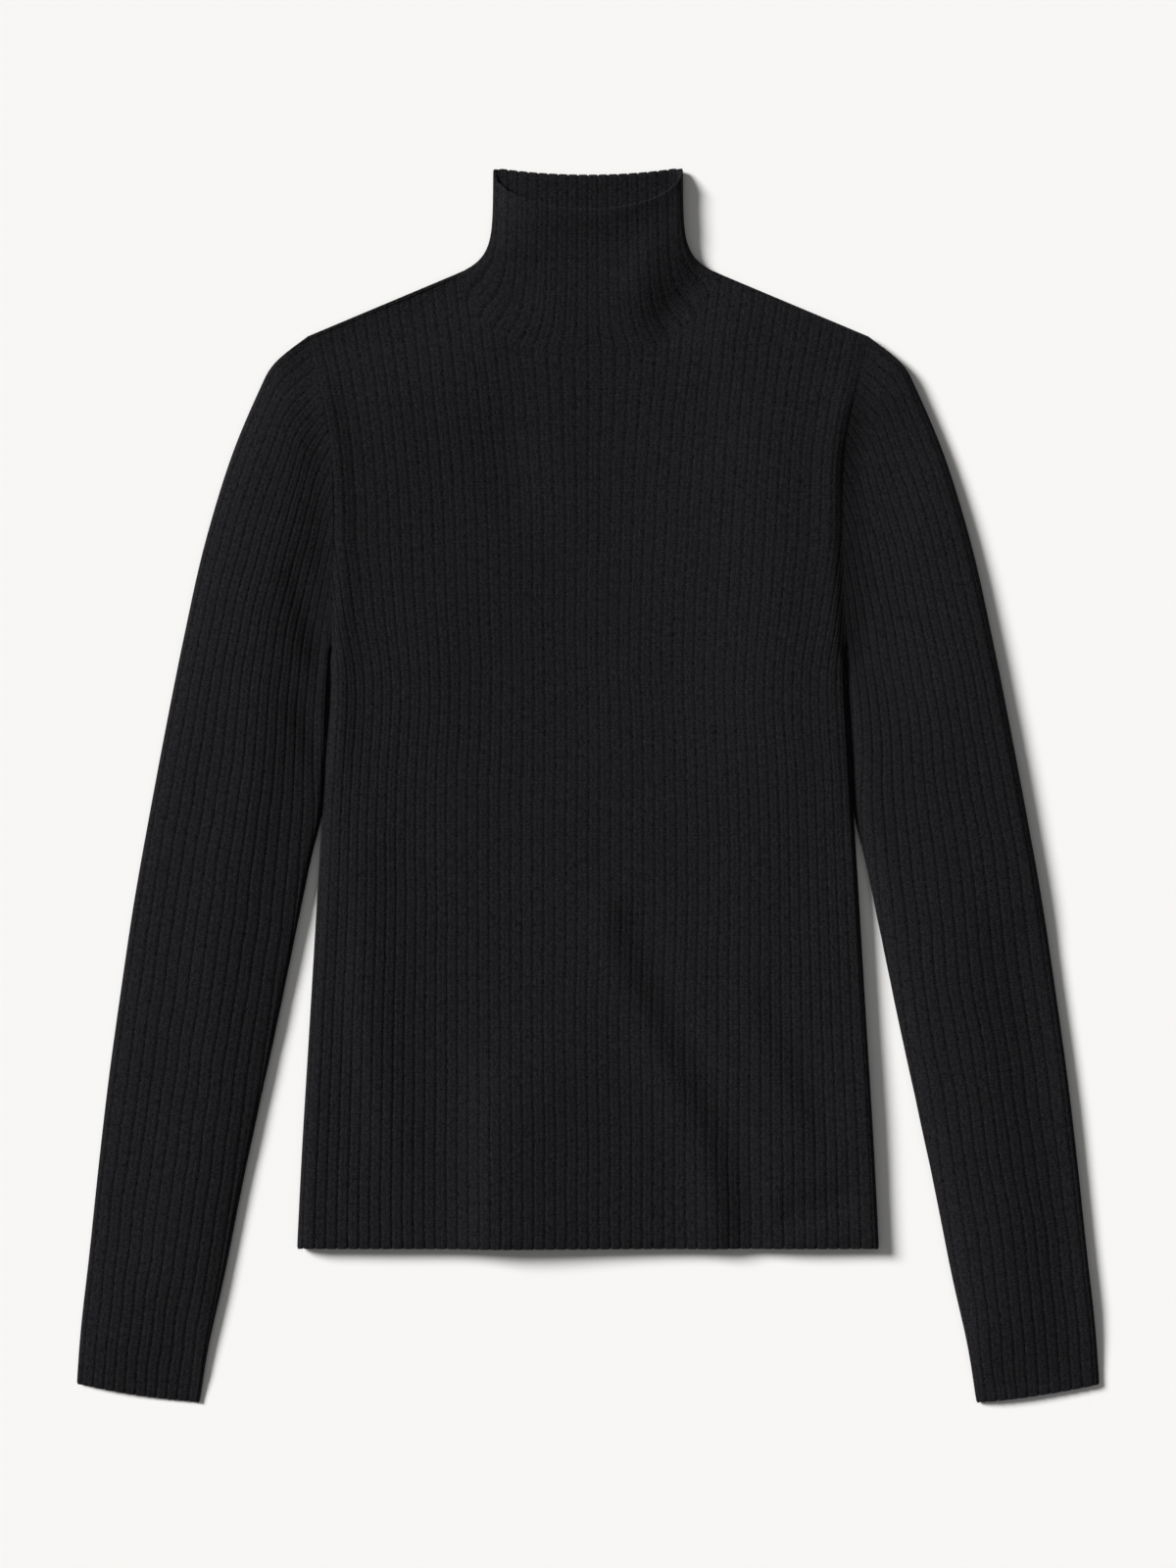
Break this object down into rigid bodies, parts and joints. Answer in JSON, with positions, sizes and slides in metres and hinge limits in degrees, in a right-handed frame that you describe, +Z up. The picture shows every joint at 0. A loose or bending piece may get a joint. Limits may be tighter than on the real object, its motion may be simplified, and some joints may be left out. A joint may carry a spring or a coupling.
{
  "type": "turtleneck sweater",
  "caption": "Hollow rib-knit long-sleeved sweater laid flat, face up, with a high ribbed collar, set-in sleeves, and open neck, hem and cuffs.",
  "frame": {"origin": "bottom centre of the bounding box, on the surface the sweater lies on", "axes": "+X from the picture's left sleeve to its right sleeve, +Y from the hem to the collar, +Z up from the surface through the face of the sweater"},
  "size_m": [0.6272, 0.7566, 0.0127],
  "materials": {
    "rib_knit": "near-black rib-knit wool blend, matt with a faint soft nap"
  },
  "bodies": {
    "root": {"front_panel": "rib_knit", "back_panel": "rib_knit", "left_sleeve": "rib_knit", "right_sleeve": "rib_knit", "collar": "rib_knit"}
  },
  "joints": []
}
